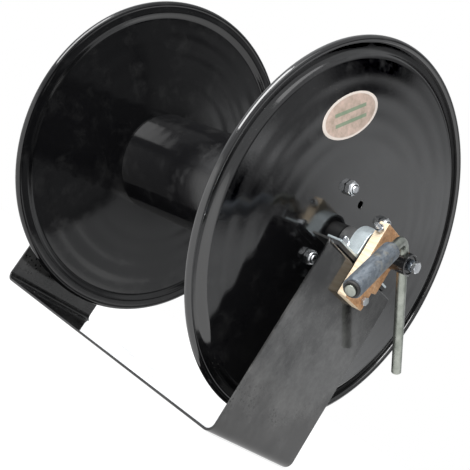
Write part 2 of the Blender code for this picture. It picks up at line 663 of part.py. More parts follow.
def build_clamp():
    """The clamp in the pipe's open end: bush round the rod, plug, jam nut and bolt."""
    bush = ring("crank_bush", BUSH_RADIUS, ROD_BORE, -BUSH_HALF_LENGTH, BUSH_HALF_LENGTH, SMALL_SEGMENTS, "Z")
    finish(add_object("crank_bush", bush, crank_turn), ZINC)
    bolt_radius = STRAP_BOLT_RADIUS
    bolt_bore = bolt_radius + GAP
    tip = CRANK_X + BUSH_RADIUS + GAP
    plug_start = tip + GAP
    plug_end = plug_start + PLUG_LENGTH
    plug = ring("clamp_plug", AXLE_INSIDE - GAP, bolt_bore, plug_start, plug_end, PIPE_SEGMENTS)
    finish(add_object("clamp_plug", plug, axle_axis), BLACK_PAINT)
    nut_start = plug_end + GAP
    nut_end = nut_start + JAM_NUT_HEIGHT
    jam_nut = nut("clamp_jam_nut", M8_FLATS, bolt_bore, nut_start, nut_end)
    finish(add_object("clamp_jam_nut", jam_nut, axle_axis), ZINC)
    head_seat = nut_end + CLAMP_HEAD_CLEAR
    clamp = bolt("clamp_bolt", M8_FLATS, bolt_radius, head_seat + M8_HEAD_HEIGHT, head_seat, tip)
    finish(add_object("clamp_bolt", clamp, axle_axis), ZINC)


build_frame()
build_flange("near_flange", 1)
build_flange("far_flange", -1)
build_drum()
build_tie_rods()
build_axle()
build_spacers()
build_label()
build_bearing("near", 1)
build_bearing("far", -1)
build_brake_block()
build_crank_rod()
build_grip()
build_clamp()
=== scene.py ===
"""The looks of a hand-cranked hose reel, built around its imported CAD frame.

Metres, +Z up. X runs along the axle, towards the crank. Places and most sizes come from the CAD nodes'
boxes and joints. The rest are named values.
"""

import json
import math
from collections import namedtuple

import bmesh
import bpy
from mathutils import Matrix, Vector, noise

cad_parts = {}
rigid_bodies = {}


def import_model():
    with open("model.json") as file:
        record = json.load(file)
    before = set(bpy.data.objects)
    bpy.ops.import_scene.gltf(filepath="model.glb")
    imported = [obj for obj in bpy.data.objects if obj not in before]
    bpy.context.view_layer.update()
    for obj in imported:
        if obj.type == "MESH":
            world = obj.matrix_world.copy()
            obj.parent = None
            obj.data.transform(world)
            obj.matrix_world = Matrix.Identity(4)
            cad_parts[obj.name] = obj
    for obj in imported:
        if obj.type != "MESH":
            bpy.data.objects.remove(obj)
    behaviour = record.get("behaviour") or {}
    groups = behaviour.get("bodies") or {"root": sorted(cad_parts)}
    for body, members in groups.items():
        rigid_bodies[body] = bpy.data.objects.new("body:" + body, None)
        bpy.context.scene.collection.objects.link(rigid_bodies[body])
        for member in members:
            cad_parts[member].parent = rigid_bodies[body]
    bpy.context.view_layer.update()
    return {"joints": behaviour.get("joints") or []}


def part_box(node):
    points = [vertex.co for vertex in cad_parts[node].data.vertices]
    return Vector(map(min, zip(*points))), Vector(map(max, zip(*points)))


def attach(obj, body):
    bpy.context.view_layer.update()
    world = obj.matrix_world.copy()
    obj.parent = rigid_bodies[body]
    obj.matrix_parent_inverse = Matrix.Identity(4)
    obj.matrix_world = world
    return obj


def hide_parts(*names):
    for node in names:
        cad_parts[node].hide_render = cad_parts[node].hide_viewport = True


for old in list(bpy.data.objects):
    bpy.data.objects.remove(old, do_unlink=True)

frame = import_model()
JOINTS = {joint["name"]: joint for joint in frame["joints"]}


# ---- Sizes read from the CAD nodes ------------------------------------------------------------
def middle(node):
    """The middle of a node's box."""
    low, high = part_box(node)
    return (low + high) / 2


def size(node):
    """The sides of a node's box."""
    low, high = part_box(node)
    return high - low


GAP = 0.0003                    # clearance between neighbouring parts
PLATE = 0.003                   # the frame's steel
AXLE_Z = middle("axle_pipe").z
AXLE_RADIUS = size("axle_pipe").z / 2
AXLE_WALL = 0.0026
ROD_RADIUS = 0.00635
FLANGE_RADIUS = size("near_flange").z / 2
DRUM_RADIUS = size("drum").z / 2
FRAME_LOW, FRAME_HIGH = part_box("frame")
UPRIGHT_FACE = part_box("brake_block")[0].x - GAP
SHELF_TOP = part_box("near_bearing_block")[0].z - GAP
CRANK_POINT = Vector(JOINTS["crank_swing"]["pos_m"])
CRANK_UP = Vector(JOINTS["crank_swing"]["axis"])
GRIP_DIRECTION = Vector(JOINTS["grip_spin"]["axis"])
GRIP_CORNER = Vector(JOINTS["grip_spin"]["pos_m"])

Screw = namedtuple("Screw", "flats radius pitch nut_bore")
M6 = Screw(0.010, 0.0030, 0.00100, 0.0032)
M8 = Screw(0.013, 0.0040, 0.00125, 0.0042)
CUT_MARGIN = 0.002              # how far a cutting shape stands out of what it cuts


# ---- Mesh helpers -------------------------------------------------------------------------------
def frame_along(start, direction, side=None):
    """A placing whose local Z runs along a direction, with local X near a side direction."""
    z = Vector(direction).normalized()
    guide = Vector(side) if side else z.orthogonal()
    x = (guide - guide.dot(z) * z).normalized()
    y = z.cross(x)
    return Matrix.LocRotScale(Vector(start), Matrix((x, y, z)).transposed(), None)


def along_x(x=0.0, y=0.0, z=AXLE_Z):
    """A placing whose local Z runs along the axle, with local X along +Y and local Y along +Z."""
    return frame_along((x, y, z), (1, 0, 0), (0, 1, 0))


def circle(radius, height, count):
    """Points round local Z."""
    angles = [2 * math.pi * index / count for index in range(count)]
    return [Vector((radius * math.cos(angle), radius * math.sin(angle), height)) for angle in angles]


def hexagon(flats, limit, height, count):
    """A hexagon round local Z, cut off where it passes a limiting radius."""
    points = []
    for index in range(count):
        angle = 2 * math.pi * index / count
        off_flat = (angle + math.pi / 6) % (math.pi / 3) - math.pi / 6
        radius = min(flats / 2 / math.cos(off_flat), limit)
        points.append(Vector((radius * math.cos(angle), radius * math.sin(angle), height)))
    return points


def loft_mesh(name, loops, closed=False, sharp=32):
    """A skin through loops of equally many points; the ends are capped unless it closes on itself."""
    work = bmesh.new()
    rings = [[work.verts.new(point) for point in loop] for loop in loops]
    count = len(rings[0])
    pairs = list(zip(rings, rings[1:]))
    if closed:
        pairs.append((rings[-1], rings[0]))
    else:
        work.faces.new(rings[0])
        work.faces.new(rings[-1])
    for first, second in pairs:
        for index in range(count):
            after = (index + 1) % count
            work.faces.new((first[index], first[after], second[after], second[index]))
    bmesh.ops.recalc_face_normals(work, faces=work.faces)
    mesh = bpy.data.meshes.new(name)
    work.to_mesh(mesh)
    work.free()
    mesh.shade_smooth()
    mesh.set_sharp_from_angle(angle=math.radians(sharp))
    return mesh


def piece(name, mesh, placing, material, body, node, bevel=0.0):
    """A visible piece: placed, given its material, riding on a body and standing for a CAD node."""
    item = bpy.data.objects.new(name, mesh)
    bpy.context.scene.collection.objects.link(item)
    item.matrix_world = placing
    if not mesh.materials:
        mesh.materials.append(material)
    if bevel:
        add_bevel(item, bevel)
    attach(item, body)
    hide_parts(node)
    return item


def add_bevel(item, width):
    """Small rounded edges, shaded smooth."""
    modifier = item.modifiers.new("edge", "BEVEL")
    modifier.width = width
    modifier.segments = 3
    modifier.limit_method = "ANGLE"
    modifier.angle_limit = math.radians(40)
    modifier.harden_normals = True


def cut(item, meshes, placing):
    """Cuts shapes out of a piece, before its edges are rounded."""
    work = bmesh.new()
    for mesh in meshes:
        work.from_mesh(mesh)
    joined = bpy.data.meshes.new(item.name + "_holes")
    work.to_mesh(joined)
    work.free()
    tool = bpy.data.objects.new(item.name + "_holes", joined)
    bpy.context.scene.collection.objects.link(tool)
    tool.matrix_world = placing
    modifier = item.modifiers.new("holes", "BOOLEAN")
    modifier.operation = "DIFFERENCE"
    modifier.solver = "EXACT"
    modifier.object = tool
    item.modifiers.move(len(item.modifiers) - 1, 0)
    bpy.context.view_layer.update()
    settled = item.evaluated_get(bpy.context.evaluated_depsgraph_get())
    mesh = bpy.data.meshes.new_from_object(settled)
    mesh.name = item.name
    item.modifiers.clear()
    item.data = mesh
    bpy.data.objects.remove(tool)


def bar(radius, start, end, count):
    """A plain cylinder along local Z."""
    return loft_mesh("bar", [circle(radius, start, count), circle(radius, end, count)])


def turned_ring(name, rows, count):
    """A ring round local Z, from the (radius, height) corners of its closed section."""
    return loft_mesh(name, [circle(radius, height, count) for radius, height in rows], True)


THREAD_DEPTH = 0.08             # of the shank's radius
THREAD_STEPS = 5                # loops in each turn


def thread(radius, pitch, start, end, count):
    """Loops of a threaded shank: the radius follows a helix, and fades to a chamfer at the end."""
    loops = []
    steps = max(2, round(abs(end - start) / pitch * THREAD_STEPS))
    for step in range(steps + 1):
        height = start + (end - start) * step / steps
        loop = []
        chamfer = max(0.0, 0.6 * pitch - abs(end - height))
        for index in range(count):
            angle = 2 * math.pi * index / count
            phase = (height / pitch - index / count) % 1.0
            groove = radius * THREAD_DEPTH * (1 - abs(2 * phase - 1))
            reach = radius - max(groove, 0.8 * chamfer)
            loop.append(Vector((reach * math.cos(angle), reach * math.sin(angle), height)))
        loops.append(loop)
    return loops


HEX_COUNT = 48                  # points round a nut or bolt head
HEX_FACE = 0.97                 # radius of the turned end face, as a share of half the flats
HEX_SHARP = 28                  # edges bent by more degrees than this are drawn sharp
WASHER_SHARE = 0.95             # radius of a washer face or a collar, as a share of half the flats
NYLON_SHARE = 0.77              # radius of the nylon ring in a collar, as a share of the collar's
CHAMFER_SLOPE = 0.55


def hex_rows(flats, start, end, chamfer_end=True):
    """Loops of a hexagon prism, its corners turned off at its start, and at its end unless told not to."""
    corner = flats / math.sqrt(3)
    face = flats / 2 * HEX_FACE
    direction = 1 if end > start else -1
    depth = direction * (corner - face) * CHAMFER_SLOPE
    rows = []
    for share in (0.0, 0.33, 0.66, 1.0):
        rows.append((face + (corner - face) * share, start + depth * share))
    if chamfer_end:
        for share in (1.0, 0.66, 0.33, 0.0):
            rows.append((face + (corner - face) * share, end - depth * share))
    else:
        rows.append((corner, end))
    return [hexagon(flats, limit, height, HEX_COUNT) for limit, height in rows]


def nut_mesh(name, flats, bore, start, end, collar=0.0):
    """A nut with a turned face; a locking nut ends in a rolled collar round a ring of nylon, slot 1."""
    count = HEX_COUNT
    direction = 1 if end > start else -1
    hex_end = end - direction * collar
    loops = hex_rows(flats, start, hex_end)
    outer = flats / 2 * WASHER_SHARE
    nylon_edge = outer * NYLON_SHARE
    if collar:
        for share in (0.0, 0.35, 0.6, 0.8, 0.93, 1.0):
            shrink = 1 - 0.17 * share ** 3
            loops.append(circle(outer * shrink, hex_end + direction * collar * share, count))
        loops.append(circle(nylon_edge, end - direction * collar * 0.04, count))
        loops.append(circle(outer * 0.745, end - direction * collar * 0.30, count))
        loops.append(circle(bore, end - direction * collar * 0.32, count))
    else:
        loops.append(circle(bore * 1.12, end, count))
        loops.append(circle(bore, end - direction * bore * 0.12, count))
    loops.append(circle(bore, start, count))
    mesh = loft_mesh(name, loops, closed=True, sharp=HEX_SHARP)
    for face in mesh.polygons:
        near_end = abs(face.center.z - end) < collar * 0.5
        if near_end and bore < face.center.xy.length < nylon_edge:
            face.material_index = 1
    return mesh


WASHER_FACE = 0.0004            # how far a bolt's round washer face stands out under its head


def bolt_mesh(name, screw, head_end, seat, tip):
    """A hexagon-head bolt with a washer face and a threaded shank."""
    count = HEX_COUNT
    direction = 1 if tip > seat else -1
    washer_start = seat - direction * WASHER_FACE
    loops = hex_rows(screw.flats, head_end, washer_start, chamfer_end=False)
    loops.append(circle(screw.flats / 2 * HEX_FACE, washer_start, count))
    loops.append(circle(screw.flats / 2 * WASHER_SHARE, seat, count))
    loops.append(circle(screw.radius, seat, count))
    loops += thread(screw.radius, screw.pitch, seat + direction * screw.pitch, tip, count)
    return loft_mesh(name, loops, sharp=HEX_SHARP)


# ---- Material helpers ---------------------------------------------------------------------------
class Surface:
    """One material's node tree, with short calls for the nodes used below."""

    def __init__(self, name, metallic=0.0):
        self.material = bpy.data.materials.new(name)
        self.material.use_nodes = True
        self.tree = self.material.node_tree
        self.shader = self.tree.nodes["Principled BSDF"]
        self.shader.inputs["Metallic"].default_value = metallic
        self.place = self.add("ShaderNodeTexCoord").outputs["Object"]

    def add(self, kind, values=(), **settings):
        """A new node, with values or links for its inputs and settings for its fields."""
        node = self.tree.nodes.new(kind)
        for key, value in settings.items():
            setattr(node, key, value)
        for key, value in dict(values).items():
            self.feed(node.inputs[key], value)
        return node

    def feed(self, socket, value):
        """Links a socket to a node's output, or gives it a plain value."""
        if isinstance(value, bpy.types.NodeSocket):
            self.tree.links.new(value, socket)
        else:
            socket.default_value = value

    def stretched(self, x, y, z):
        """The object's coordinates, scaled differently along each axis."""
        return self.add("ShaderNodeMapping", {"Vector": self.place, "Scale": (x, y, z)}).outputs[0]

    def noise(self, scale, detail=3.0, rough=0.5, vector=None):
        """Noise from 0 to 1, with its features about 1/scale metres apart."""
        values = {"Vector": vector or self.place, "Scale": scale, "Detail": detail, "Roughness": rough}
        return self.add("ShaderNodeTexNoise", values).outputs["Fac"]

    def cells(self, scale, vector=None):
        """Voronoi cells, about 1/scale metres across."""
        return self.add("ShaderNodeTexVoronoi", {"Vector": vector or self.place, "Scale": scale})

    def span(self, value, low, high, to_low=0.0, to_high=1.0):
        """A value carried from one range into another, clamped."""
        values = {0: value, 1: low, 2: high, 3: to_low, 4: to_high}
        return self.add("ShaderNodeMapRange", values, clamp=True).outputs[0]

    def math(self, operation, first, second=0.0):
        """One sum, product or other operation on two values."""
        return self.add("ShaderNodeMath", {0: first, 1: second}, operation=operation).outputs[0]

    def product(self, first, *others):
        """Values multiplied together."""
        for other in others:
            first = self.math("MULTIPLY", first, other)
        return first

    def mix(self, share, first, second):
        """A blend of two colours."""
        node = self.add("ShaderNodeMix", data_type="RGBA")
        self.feed(node.inputs[0], share)
        for socket, colour in ((node.inputs[6], first), (node.inputs[7], second)):
            self.feed(socket, (*colour, 1.0) if isinstance(colour, tuple) else colour)
        return node.outputs[2]

    def bump(self, height, distance, strength, below=None):
        """Relief from a height, on top of another bump if one is given."""
        values = {"Height": height, "Distance": distance, "Strength": strength}
        if below is not None:
            values["Normal"] = below
        return self.add("ShaderNodeBump", values).outputs[0]

    def finish(self, colour, roughness, normal=None):
        """Joins the results to the shader, and returns the material."""
        self.feed(self.shader.inputs["Base Color"], colour)
        self.feed(self.shader.inputs["Roughness"], roughness)
        if normal is not None:
            self.feed(self.shader.inputs["Normal"], normal)
        return self.material


ENAMEL_BLACK = (0.004, 0.004, 0.0045)
SPECK_BLACK = (0.004, 0.004, 0.004)
DUST = (0.060, 0.058, 0.055)
SMUDGE = (0.022, 0.022, 0.022)
WIPED_FILM = (0.15, 0.15, 0.147)
CHIPPED = (0.20, 0.19, 0.17)


def wiped_film(s, colour, film):
    """Grey smears left by wiping, faded out at the foot as painted shade near the floor, with a patch of
    dark specks low down.
    """
    height = s.add("ShaderNodeSeparateXYZ", {0: s.place}).outputs[2]
    broad = s.span(s.noise(9.0, 7.0, 0.66, s.stretched(1.0, 1.0, 0.7)), 0.43, 0.58)
    fine = s.span(s.noise(60.0, 5.0, 0.7), 0.30, 0.66, 0.45, 1.0)
    # painted shade near the floor: the grey film is cut down towards the foot so that the lowest part of
    # the frame stays darker
    foot_shade_fade = s.span(height, 0.0, 0.055, 0.20, 1.0)
    smeared = s.mix(s.product(broad, fine, foot_shade_fade, film), colour, WIPED_FILM)
    low_down = s.span(height, 0.045, 0.090, 1.0, 0.0)
    specks = s.span(s.cells(170.0).outputs["Distance"], 0.22, 0.30, 1.0, 0.0)
    patch = s.span(s.noise(26.0, 2.0), 0.48, 0.55)
    return s.mix(s.product(specks, patch, low_down), smeared, SPECK_BLACK)


def black_enamel(name, gloss, film=0.0):
    """Sprayed gloss enamel: orange peel, slow waves in the sheet, haze, dust, chips and scratches.

    gloss is how much it mirrors, and film how much grey is smeared over it.
    """
    s = Surface(name)
    s.shader.inputs["Specular IOR Level"].default_value = gloss
    haze = s.noise(9.0, 4.0, 0.6)
    smudge = s.span(s.noise(34.0, 5.0, 0.65), 0.52, 0.75)
    dust = s.span(s.noise(900.0, 2.0, 0.6), 0.66, 0.80)
    scratch_band = s.noise(120.0, 3.0, 0.7, s.stretched(0.04, 1.0, 1.6))
    off_scratch = s.math("ABSOLUTE", s.math("SUBTRACT", scratch_band, 0.5))
    scratch = s.span(off_scratch, 0.0, 0.006, 1.0, 0.0)
    dust_share = s.product(dust, s.span(haze, 0.35, 0.75, 0.1, 0.6))
    colour = s.mix(s.product(smudge, 0.5), s.mix(dust_share, ENAMEL_BLACK, DUST), SMUDGE)
    if film:
        colour = wiped_film(s, colour, film)
    chip = s.span(s.noise(520.0, 2.0, 0.7), 0.70, 0.74)
    chipped_area = s.span(s.noise(16.0, 2.0), 0.56, 0.66)
    colour = s.mix(s.product(chip, chipped_area, 0.8), colour, CHIPPED)
    roughness = s.span(haze, 0.3, 0.7, 0.06, 0.12)
    roughness = s.math("ADD", roughness, s.product(smudge, 0.10))
    roughness = s.math("ADD", roughness, s.product(scratch, 0.10))
    wave = s.bump(s.noise(6.5, 1.5, 0.35), 0.0030, 0.45)
    peel = s.bump(s.noise(420.0, 2.0, 0.5), 0.00006, 0.30, wave)
    return s.finish(colour, roughness, peel)


def zinc_plate(name, light, dark, low, high, metallic=1.0):
    """Plated steel: clouds of a light and a dark tone, fine pits, and roughness from low to high."""
    s = Surface(name, metallic=metallic)
    cloud = s.noise(60.0, 4.0, 0.6)
    pits = s.span(s.noise(1400.0, 2.0, 0.6), 0.58, 0.74)
    colour = s.mix(s.span(cloud, 0.35, 0.68), light, dark)
    stained = s.mix(s.product(pits, 0.45), colour, (0.20, 0.20, 0.19))
    roughness = s.span(s.noise(140.0, 3.0, 0.6), 0.3, 0.7, low, high)
    brushed = s.bump(s.noise(500.0, 3.0, 0.6, s.stretched(1.0, 1.0, 0.15)), 0.00005, 0.35)
    return s.finish(stained, roughness, brushed)


def galvanised():
    """Hot-dip zinc: a spangle of blue-grey crystals with duller runs and yellowish stains."""
    s = Surface("galvanised_sleeve", metallic=0.70)
    crystals = s.cells(420.0, vector=s.stretched(1.0, 1.0, 0.45))
    tone = s.add("ShaderNodeSeparateColor", {0: crystals.outputs["Color"]}).outputs[0]
    runs = s.noise(130.0, 5.0, 0.7, s.stretched(1.0, 1.0, 0.5))
    blend = s.math("ADD", s.product(tone, 0.22), s.product(runs, 0.85))
    zinc = s.mix(s.span(blend, 0.25, 0.85), (0.062, 0.074, 0.092), (0.24, 0.27, 0.30))
    stain = s.span(s.noise(75.0, 4.0, 0.6), 0.52, 0.70)
    colour = s.mix(s.product(stain, 0.35), zinc, (0.36, 0.31, 0.20))
    roughness = s.span(runs, 0.3, 0.7, 0.58, 0.74)
    bump = s.bump(s.math("ADD", tone, s.noise(600.0, 3.0, 0.6)), 0.00008, 0.4)
    return s.finish(colour, roughness, bump)


def plastic(name, colour, worn, roughness):
    """Matt black plastic or rubber with a moulded grain and rubbed spots."""
    s = Surface(name)
    grain = s.noise(1600.0, 3.0, 0.6)
    rubbed = s.span(s.noise(90.0, 4.0, 0.6), 0.45, 0.75)
    dull = s.span(grain, 0.3, 0.7, roughness - 0.08, roughness + 0.1)
    return s.finish(s.mix(rubbed, colour, worn), dull, s.bump(grain, 0.00006, 0.5))


def hardwood():
    """A sawn wooden block: pale sides with growth rings, and an outer face (local +Z) painted a darker
    orange-brown as shade.
    """
    s = Surface("hardwood_block")
    long_grain = s.stretched(1.0, 1.0, 0.08)
    rings = s.noise(260.0, 4.0, 0.55, long_grain)
    pores = s.span(s.noise(900.0, 2.0, 0.6, long_grain), 0.60, 0.72)
    blotch = s.noise(45.0, 3.0, 0.6)
    ring_share = s.span(rings, 0.35, 0.65)
    pale = s.mix(ring_share, (0.86, 0.74, 0.56), (0.70, 0.54, 0.36))
    # painted shade: this darker orange-brown goes on the outer face (local +Z), as if that face were in
    # shadow, while the sides stay pale
    shaded_face_colour = s.mix(ring_share, (0.50, 0.27, 0.12), (0.30, 0.14, 0.055))
    normal = s.add("ShaderNodeTexCoord").outputs["Normal"]
    outward = s.add("ShaderNodeSeparateXYZ", {0: normal}).outputs[2]
    # share of painted shade, chosen by the surface normal so that only the outer face gets it, broken up by
    # blotches
    face = s.product(s.span(outward, 0.5, 0.9), s.span(blotch, 0.25, 0.6, 0.65, 1.0))
    colour = s.mix(face, pale, shaded_face_colour)
    dark = s.mix(s.product(pores, 0.6), colour, (0.16, 0.08, 0.035))
    bump = s.bump(rings, 0.0002, 0.4)
    return s.finish(dark, s.span(blotch, 0.3, 0.7, 0.45, 0.65), bump)


# shares of the oval's half width and half length
STRIPE_OFFSET = 0.24
STRIPE_HALF_WIDTH = 0.085
STRIPE_HALF_LENGTH = 0.56
BORDER_START = 0.90


def sticker(half_long, half_wide):
    """A blank printed oval: blotchy beige inside a pale border, with two plain stripes."""
    s = Surface("oval_sticker")
    axes = s.add("ShaderNodeSeparateXYZ", {0: s.stretched(1 / half_long, 1 / half_wide, 1.0)})
    x, y = axes.outputs[0], axes.outputs[1]
    radius = s.math("SQRT", s.math("ADD", s.product(x, x), s.product(y, y)))
    blotch = s.noise(75.0, 5.0, 0.65)
    ground = s.mix(s.span(blotch, 0.35, 0.65), (0.62, 0.47, 0.40), (0.38, 0.30, 0.24))
    off_stripe = s.math("ABSOLUTE", s.math("SUBTRACT", s.math("ABSOLUTE", y), STRIPE_OFFSET))
    in_height = s.math("LESS_THAN", off_stripe, STRIPE_HALF_WIDTH)
    in_length = s.math("LESS_THAN", s.math("ABSOLUTE", x), STRIPE_HALF_LENGTH)
    printed = s.mix(s.product(in_height, in_length, 0.8), ground, (0.16, 0.27, 0.17))
    border = s.math("GREATER_THAN", radius, BORDER_START)
    colour = s.mix(border, printed, (0.74, 0.66, 0.60))
    bump = s.bump(s.noise(300.0, 2.0, 0.5), 0.00005, 0.3)
    return s.finish(colour, s.span(blotch, 0.3, 0.7, 0.35, 0.5), bump)


ENAMEL = black_enamel("black_enamel", 1.0)
INNER_ENAMEL = black_enamel("inner_enamel", 0.62)
FRAME_ENAMEL = black_enamel("frame_enamel", 0.62, 0.48)
ZINC = zinc_plate("bright_zinc", (0.74, 0.76, 0.78), (0.46, 0.48, 0.51), 0.20, 0.34)
STRAP_ZINC = zinc_plate("strap_zinc", (0.74, 0.82, 0.85), (0.50, 0.57, 0.60), 0.30, 0.44, 0.70)
SLEEVE = zinc_plate("sleeve_steel", (0.17, 0.17, 0.17), (0.09, 0.09, 0.09), 0.34, 0.48, 0.50)
DARK_ZINC = zinc_plate("dark_zinc", (0.20, 0.23, 0.27), (0.12, 0.14, 0.16), 0.26, 0.40)
ROD_ZINC = zinc_plate("bar_zinc", (0.40, 0.42, 0.38), (0.21, 0.23, 0.20), 0.26, 0.42)
GALVANISED = galvanised()
NYLON = plastic("black_nylon", (0.018, 0.018, 0.019), (0.045, 0.045, 0.045), 0.50)
RUBBER = plastic("black_rubber", (0.014, 0.014, 0.014), (0.05, 0.048, 0.045), 0.65)
WOOD = hardwood()


# ---- Frame ------------------------------------------------------------------------------------
FOOT_BEND = 0.012
SHELF_BEND = 0.006
SHELF_LENGTH = 0.029
FOOT_HOLE_RADIUS = 0.005
FOOT_HOLE_INSET = 0.018
FOOT_HOLE_SPACING = 0.090
ARC_STEPS = 10
FRAME_EDGE = 0.0007


def filleted(corners):
    """An outline from (a, b, radius) corners, with an arc at each corner that has a radius."""
    points = []
    for index, (a, b, radius) in enumerate(corners):
        here = Vector((a, b))
        if radius == 0:
            points.append(here)
            continue
        before = (Vector(corners[index - 1][:2]) - here).normalized()
        after = (Vector(corners[(index + 1) % len(corners)][:2]) - here).normalized()
        half = before.angle(after) / 2
        centre = here + (before + after).normalized() * radius / math.sin(half)
        first = here + before * radius / math.tan(half) - centre
        last = here + after * radius / math.tan(half) - centre
        start = math.atan2(first.y, first.x)
        sweep = math.remainder(math.atan2(last.y, last.x) - start, 2 * math.pi)
        for step in range(ARC_STEPS + 1):
            angle = start + sweep * step / ARC_STEPS
            points.append(centre + radius * Vector((math.cos(angle), math.sin(angle))))
    return points


def build_frame():
    """The base strip, uprights and shelves, bent from one plate, with its four foot holes."""
    shelf_end = UPRIGHT_FACE - SHELF_LENGTH
    inside = UPRIGHT_FACE - PLATE
    under = SHELF_TOP - PLATE
    outline = filleted([
        (-shelf_end, SHELF_TOP, 0), (-UPRIGHT_FACE, SHELF_TOP, SHELF_BEND),
        (-UPRIGHT_FACE, 0, FOOT_BEND), (UPRIGHT_FACE, 0, FOOT_BEND),
        (UPRIGHT_FACE, SHELF_TOP, SHELF_BEND), (shelf_end, SHELF_TOP, 0),
        (shelf_end, under, 0), (inside, under, SHELF_BEND - PLATE),
        (inside, PLATE, FOOT_BEND - PLATE), (-inside, PLATE, FOOT_BEND - PLATE),
        (-inside, under, SHELF_BEND - PLATE), (-shelf_end, under, 0),
    ])
    sides = [[(a, y, b) for a, b in outline] for y in (FRAME_LOW.y, FRAME_HIGH.y)]
    mesh = loft_mesh("steel_frame", sides)
    item = piece("steel_frame", mesh, Matrix.Identity(4), FRAME_ENAMEL, "frame", "frame")
    holes = []
    for side in (-1, 1):
        for end in (-1, 1):
            hole = bar(FOOT_HOLE_RADIUS, -CUT_MARGIN, PLATE + CUT_MARGIN, 40)
            x = side * (UPRIGHT_FACE - FOOT_HOLE_INSET)
            hole.transform(frame_along((x, end * FOOT_HOLE_SPACING / 2, 0), (0, 0, 1)))
            holes.append(hole)
    cut(item, holes, Matrix.Identity(4))
    add_bevel(item, FRAME_EDGE)


# ---- Reel -------------------------------------------------------------------------------------
FLANGE_COUNT = 192
SHEET = 0.0018
RIM_WIDTH = 0.018
RIM_STEP = 0.005
BEAD_RADIUS = 0.0045
BEAD_OFFSET = 0.0015
BEAD_STEPS = 24
SLOPE_START = 0.007             # inside the rim's width, where the sheet starts to step in
SLOPE_LENGTH = 0.009
SHEET_END = 0.003               # into the rim's width, where the sheet meets the bead
DISC_RINGS = 90
# radius, width and height of the shallow rings pressed into the disc
PRESSED_RINGS = (
    (0.127, 0.008, 0.00010),
    (0.152, 0.009, 0.00016),
    (0.180, 0.010, 0.00022),
    (0.206, 0.008, 0.00016),
)
DENT = 0.0004                   # how far the sheet wanders
DENT_SCALE = 9.0
DENT_START = 0.09               # radii and fades that keep the hub and the rim true
DENT_START_FADE = 0.06
DENT_END = 0.222
DENT_END_FADE = 0.05
INSPECTION_HOLE_RADIUS = 0.0052
INSPECTION_HOLE_OUT = 0.0462    # from the axle
INSPECTION_HOLE_ANGLE = math.radians(105.6)
INSPECTION_HOLE_SPAN = (-0.004, 0.006)      # of the cut, from the disc's inner face


def smooth_step(share):
    """An eased step from 0 to 1."""
    share = min(1.0, max(0.0, share))
    return share * share * (3 - 2 * share)


def flange_face(radius):
    """How far the sheet stands out from its inner face plane at a radius."""
    ring = sum(height * math.exp(-(((radius - at) / width) ** 2)) for at, width, height in PRESSED_RINGS)
    slope_start = FLANGE_RADIUS - RIM_WIDTH - SLOPE_START
    step = RIM_STEP * smooth_step((radius - slope_start) / SLOPE_LENGTH)
    return ring - step


def flange_profile():
    """Closed half section of a flange: (distance out from the inner face, radius)."""
    bead_centre = FLANGE_RADIUS - BEAD_RADIUS
    sheet_end = FLANGE_RADIUS - RIM_WIDTH + SHEET_END
    bore = AXLE_RADIUS + GAP
    radii = [bore + (sheet_end - bore) * index / DISC_RINGS for index in range(DISC_RINGS + 1)]
    back = [(flange_face(radius), radius) for radius in radii]
    front = [(flange_face(radius) + SHEET, radius) for radius in reversed(radii)]
    low = -RIM_STEP
    high = SHEET - RIM_STEP
    start = math.asin((BEAD_OFFSET + low) / BEAD_RADIUS)
    end = math.asin((BEAD_OFFSET + high) / BEAD_RADIUS)
    sweep = 2 * math.pi - (end - start)
    bead = []
    for index in range(BEAD_STEPS + 1):
        angle = start - sweep * index / BEAD_STEPS
        out = BEAD_RADIUS * math.sin(angle) - BEAD_OFFSET
        bead.append((out, bead_centre - BEAD_RADIUS * math.cos(angle)))
    return back + bead + front


def build_flange(node, side):
    """A pressed disc with slightly uneven sheet; side is 1 for the crank side."""
    name = node + "_disc"
    inner_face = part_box("drum")[1].x + GAP
    seed = Vector((3.1 * side, 1.7, 0.0))
    loops = []
    for out, radius in flange_profile():
        past_hub = smooth_step((radius - DENT_START) / DENT_START_FADE)
        before_rim = smooth_step((DENT_END - radius) / DENT_END_FADE)
        loop = []
        for index in range(FLANGE_COUNT):
            angle = 2 * math.pi * index / FLANGE_COUNT
            point = Vector((radius * math.cos(angle), radius * math.sin(angle), 0))
            dent = DENT * noise.noise(point * DENT_SCALE + seed) * past_hub * before_rim
            point.z = side * (inner_face + out + dent)
            loop.append(point)
        loops.append(loop)
    mesh = loft_mesh(name, loops, closed=True)
    paint = ENAMEL if side == 1 else INNER_ENAMEL
    item = piece(name, mesh, along_x(), paint, "reel", node)
    if side == 1:
        start, end = (inner_face + out for out in INSPECTION_HOLE_SPAN)
        hole = bar(INSPECTION_HOLE_RADIUS, start, end, 32)
        across = INSPECTION_HOLE_OUT * math.cos(INSPECTION_HOLE_ANGLE)
        up = INSPECTION_HOLE_OUT * math.sin(INSPECTION_HOLE_ANGLE)
        hole.transform(Matrix.Translation((across, up, 0)))
        cut(item, [hole], along_x())


DRUM_WALL = 0.002
DRUM_LIP = 0.0008               # weld bead at each end of the drum
DRUM_COUNT = 144


def build_drum():
    """The tube that the hose winds on, with a low bead at each end."""
    half = size("drum").x / 2
    # radius, and distance in from the drum's end
    bead = [
        (DRUM_RADIUS + DRUM_LIP * 0.4, 0.0), (DRUM_RADIUS + DRUM_LIP, 0.0010),
        (DRUM_RADIUS + DRUM_LIP, 0.0022), (DRUM_RADIUS, 0.0036),
    ]
    rows = [(radius, -half + inward) for radius, inward in bead]
    rows += [(radius, half - inward) for radius, inward in reversed(bead)]
    rows += [(DRUM_RADIUS - DRUM_WALL, half), (DRUM_RADIUS - DRUM_WALL, -half)]
    mesh = turned_ring("drum_tube", rows, DRUM_COUNT)
    piece("drum_tube", mesh, along_x(), INNER_ENAMEL, "reel", "drum")


PIPE_COUNT = 96
AXLE_EASE = 0.0008
SLEEVE_EASE = 0.0005


